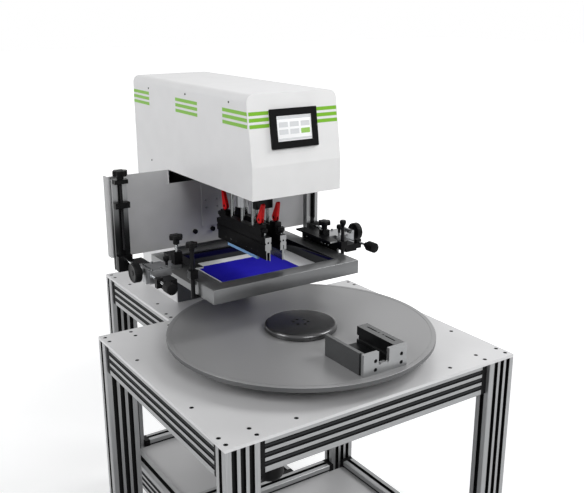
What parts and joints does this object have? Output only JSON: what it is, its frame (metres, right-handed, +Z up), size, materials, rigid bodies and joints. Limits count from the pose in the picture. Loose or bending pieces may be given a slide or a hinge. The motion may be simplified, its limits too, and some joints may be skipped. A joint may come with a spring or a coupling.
{
  "type": "screen printing machine",
  "caption": "Bench screen printing machine with a rotary table, product jig, overhead squeegee head, adjustable screen frame holders and touch panel on profile tables.",
  "frame": {"origin": "on the floor under the centre of the footprint", "axes": "+X to the operator's right, +Y from the operator to the rear, +Z up"},
  "size_m": [0.9, 1.265, 1.546],
  "materials": {
    "profile": "clear anodised, satin, brushed along its length",
    "joint_plastic": "black moulded, matt",
    "table_top": "ground plate, satin",
    "screw_black": "black oxide, low gloss",
    "foot_rubber": "black, matt",
    "gearbox_paint": "dark grey paint, satin",
    "motor_paint": "black paint, semi gloss",
    "spindle_steel": "ground",
    "disc_alloy": "turned, satin, fine circular lines",
    "hub_alloy": "dark anodised top with a bright rim",
    "jig_alloy": "milled, semi bright",
    "column_steel": "grey paint",
    "cover_white": "white powder coat, satin",
    "back_sheet": "grey powder coat, satin",
    "rail_alloy": "anodised, satin",
    "fitting_dark": "black",
    "bezel_plastic": "black, fine grain",
    "screen_glass": "lit display behind a clear film",
    "stroke_steel": "ground",
    "cylinder_alloy": "anodised tube",
    "carriage_alloy": "dark anodised",
    "holder_alloy": "black anodised with bare cut ends",
    "blade_rubber": "pale blue polyurethane, satin",
    "flood_steel": "thin sheet, satin",
    "lever_red": "red, semi gloss",
    "frame_alloy": "mill finish box section",
    "screen_fabric": "fine polyester mesh with a blue emulsion area",
    "slide_black": "black anodised",
    "stage_alloy": "anodised, satin",
    "knob_plastic": "black moulded"
  },
  "bodies": {
    "base": {"table_legs": "profile", "table_beams": "profile", "joint_blocks": "joint_plastic", "table_plates": "table_top", "table_screws": "screw_black", "levelling_feet": "foot_rubber", "index_gearbox": "gearbox_paint", "index_motor": "motor_paint", "inner_frame": "column_steel", "column_cover": "cover_white", "back_plate": "back_sheet", "centre_plate": "back_sheet", "side_rails": "rail_alloy", "head_cover": "cover_white", "head_front_panel": "cover_white", "cover_fittings": "fitting_dark", "panel_bezel": "bezel_plastic", "touch_screen": "screen_glass", "stroke_unit": "stroke_steel"},
    "turntable": {"turntable_spindle": "spindle_steel", "turntable_disc": "disc_alloy", "hub_cap": "hub_alloy", "jig_body": "jig_alloy", "jig_side_block": "jig_alloy", "jig_end_plate": "jig_alloy", "jig_screws": "screw_black"},
    "print_carriage": {"stroke_carriage": "carriage_alloy", "lift_cylinders": "cylinder_alloy"},
    "squeegee_unit": {"squeegee_lift_bar": "holder_alloy", "squeegee_holder": "holder_alloy", "squeegee_blade": "blade_rubber"},
    "flood_unit": {"flood_lift_bar": "holder_alloy", "flood_holder": "holder_alloy", "flood_blade": "flood_steel"},
    "frame_carrier": {"screen_frame": "frame_alloy", "screen_mesh": "screen_fabric", "left_frame_clamp": "slide_black", "right_frame_clamp": "slide_black"},
    "squeegee_lever_front_body": {"squeegee_lever_front": "lever_red"},
    "squeegee_lever_rear_body": {"squeegee_lever_rear": "lever_red"},
    "flood_lever_front_body": {"flood_lever_front": "lever_red"},
    "flood_lever_rear_body": {"flood_lever_rear": "lever_red"},
    "squeegee_thumb_knob_body": {"squeegee_thumb_knob": "knob_plastic"},
    "flood_thumb_knob_body": {"flood_thumb_knob": "knob_plastic"},
    "left_height_slide_body": {"left_height_slide": "slide_black"},
    "right_height_slide_body": {"right_height_slide": "slide_black"},
    "left_height_knob_body": {"left_height_knob": "knob_plastic"},
    "right_height_knob_body": {"right_height_knob": "knob_plastic"},
    "left_y_stage_body": {"left_y_stage": "stage_alloy"},
    "right_y_stage_body": {"right_y_stage": "stage_alloy"},
    "left_y_knob_body": {"left_y_knob": "knob_plastic"},
    "right_y_knob_body": {"right_y_knob": "knob_plastic"},
    "left_x_wheel_body": {"left_x_wheel": "knob_plastic"},
    "right_x_wheel_body": {"right_x_wheel": "knob_plastic"},
    "left_clamp_knob_body": {"left_clamp_knob": "knob_plastic"},
    "right_clamp_knob_body": {"right_clamp_knob": "knob_plastic"},
    "left_hook_knob_body": {"left_hook_knob": "knob_plastic"},
    "right_hook_knob_body": {"right_hook_knob": "knob_plastic"},
    "left_lock_knob_body": {"left_lock_knob": "knob_plastic"},
    "right_lock_knob_body": {"right_lock_knob": "knob_plastic"}
  },
  "joints": [
    {"name": "turntable_spin", "type": "hinge", "parent": "base", "child": "turntable", "pos_m": [0, -0.26, 0.89], "axis": [0, 0, 1], "continuous": true},
    {"name": "print_stroke", "type": "slide", "parent": "base", "child": "print_carriage", "axis": [1, 0, 0], "range_m": [-0.062, 0.082]},
    {"name": "squeegee_lift", "type": "slide", "parent": "print_carriage", "child": "squeegee_unit", "axis": [0, 0, 1], "range_m": [-0.063, 0]},
    {"name": "flood_lift", "type": "slide", "parent": "print_carriage", "child": "flood_unit", "axis": [0, 0, 1], "range_m": [-0.063, 0]},
    {"name": "squeegee_lever_front_turn", "type": "hinge", "parent": "squeegee_unit", "child": "squeegee_lever_front_body", "pos_m": [-0.035, -0.108, 1.185], "axis": [1, 0, 0], "range_deg": [0, 65]},
    {"name": "squeegee_lever_rear_turn", "type": "hinge", "parent": "squeegee_unit", "child": "squeegee_lever_rear_body", "pos_m": [-0.035, 0.09, 1.185], "axis": [1, 0, 0], "range_deg": [-70, 0]},
    {"name": "flood_lever_front_turn", "type": "hinge", "parent": "flood_unit", "child": "flood_lever_front_body", "pos_m": [0.015, -0.108, 1.185], "axis": [1, 0, 0], "range_deg": [0, 65]},
    {"name": "flood_lever_rear_turn", "type": "hinge", "parent": "flood_unit", "child": "flood_lever_rear_body", "pos_m": [0.015, 0.09, 1.185], "axis": [1, 0, 0], "range_deg": [-70, 0]},
    {"name": "left_height", "type": "slide", "parent": "base", "child": "left_height_slide_body", "axis": [0, 0, 1], "range_m": [-0.035, 0.007]},
    {"name": "left_height_knob_turn", "type": "hinge", "parent": "base", "child": "left_height_knob_body", "pos_m": [-0.336, 0.1585, 1.287], "axis": [0, 0, 1], "range_deg": [-2520.2, 504.2]},
    {"name": "left_frame_y", "type": "slide", "parent": "left_height_slide_body", "child": "left_y_stage_body", "axis": [0, 1, 0], "range_m": [-0.006, 0.006]},
    {"name": "left_y_knob_turn", "type": "hinge", "parent": "left_height_slide_body", "child": "left_y_knob_body", "pos_m": [-0.338, -0.085, 1.052], "axis": [0, 1, 0], "range_deg": [-540.1, 540.1]},
    {"name": "left_x_wheel_turn", "type": "hinge", "parent": "left_y_stage_body", "child": "left_x_wheel_body", "pos_m": [-0.348, -0.015, 1.0651], "axis": [1, 0, 0], "range_deg": [-540.1, 540.1]},
    {"name": "left_clamp_knob_turn", "type": "hinge", "parent": "frame_carrier", "child": "left_clamp_knob_body", "pos_m": [-0.2535, -0.017, 1.0706], "axis": [0, 0, 1], "range_deg": [0, 720]},
    {"name": "left_hook_knob_turn", "type": "hinge", "parent": "frame_carrier", "child": "left_hook_knob_body", "pos_m": [-0.2535, -0.1115, 1.0706], "axis": [0, 0, 1], "range_deg": [-90, 0]},
    {"name": "right_height", "type": "slide", "parent": "base", "child": "right_height_slide_body", "axis": [0, 0, 1], "range_m": [-0.035, 0.007]},
    {"name": "right_height_knob_turn", "type": "hinge", "parent": "base", "child": "right_height_knob_body", "pos_m": [0.336, 0.1585, 1.287], "axis": [0, 0, 1], "range_deg": [-2520.2, 504.2]},
    {"name": "right_frame_y", "type": "slide", "parent": "right_height_slide_body", "child": "right_y_stage_body", "axis": [0, 1, 0], "range_m": [-0.006, 0.006]},
    {"name": "right_y_knob_turn", "type": "hinge", "parent": "right_height_slide_body", "child": "right_y_knob_body", "pos_m": [0.338, -0.085, 1.052], "axis": [0, 1, 0], "range_deg": [-540.1, 540.1]},
    {"name": "right_x_wheel_turn", "type": "hinge", "parent": "right_y_stage_body", "child": "right_x_wheel_body", "pos_m": [0.348, -0.015, 1.0651], "axis": [1, 0, 0], "range_deg": [-540.1, 540.1]},
    {"name": "right_clamp_knob_turn", "type": "hinge", "parent": "frame_carrier", "child": "right_clamp_knob_body", "pos_m": [0.2535, -0.017, 1.0706], "axis": [0, 0, 1], "range_deg": [0, 720]},
    {"name": "right_hook_knob_turn", "type": "hinge", "parent": "frame_carrier", "child": "right_hook_knob_body", "pos_m": [0.2535, -0.1115, 1.0706], "axis": [0, 0, 1], "range_deg": [0, 90]},
    {"name": "squeegee_thumb_knob_turn", "type": "hinge", "parent": "squeegee_unit", "child": "squeegee_thumb_knob_body", "pos_m": [-0.035, 0.1205, 1.141], "axis": [0, 0, 1], "range_deg": [0, 360]},
    {"name": "flood_thumb_knob_turn", "type": "hinge", "parent": "flood_unit", "child": "flood_thumb_knob_body", "pos_m": [0.015, -0.1385, 1.141], "axis": [0, 0, 1], "range_deg": [0, 360]},
    {"name": "left_lock_knob_turn", "type": "hinge", "parent": "left_y_stage_body", "child": "left_lock_knob_body", "pos_m": [-0.295, -0.038, 1.0706], "axis": [0, 0, 1], "range_deg": [0, 360]},
    {"name": "right_lock_knob_turn", "type": "hinge", "parent": "right_y_stage_body", "child": "right_lock_knob_body", "pos_m": [0.295, -0.038, 1.0706], "axis": [0, 0, 1], "range_deg": [0, 360]},
    {"name": "frame_x", "type": "slide", "parent": "left_y_stage_body", "child": "frame_carrier", "axis": [1, 0, 0], "range_m": [-0.006, 0.006]}
  ],
  "couplings": [
    {"joint": "right_height", "follows": "left_height", "ratio": 1},
    {"joint": "left_height_knob_turn", "follows": "left_height", "rad_per_m": 1256.6},
    {"joint": "right_height_knob_turn", "follows": "left_height", "rad_per_m": 1256.6},
    {"joint": "right_frame_y", "follows": "left_frame_y", "ratio": 1},
    {"joint": "left_y_knob_turn", "follows": "left_frame_y", "rad_per_m": 1570.8},
    {"joint": "right_y_knob_turn", "follows": "left_frame_y", "rad_per_m": 1570.8},
    {"joint": "left_x_wheel_turn", "follows": "frame_x", "rad_per_m": 1570.8},
    {"joint": "right_x_wheel_turn", "follows": "frame_x", "rad_per_m": 1570.8}
  ]
}
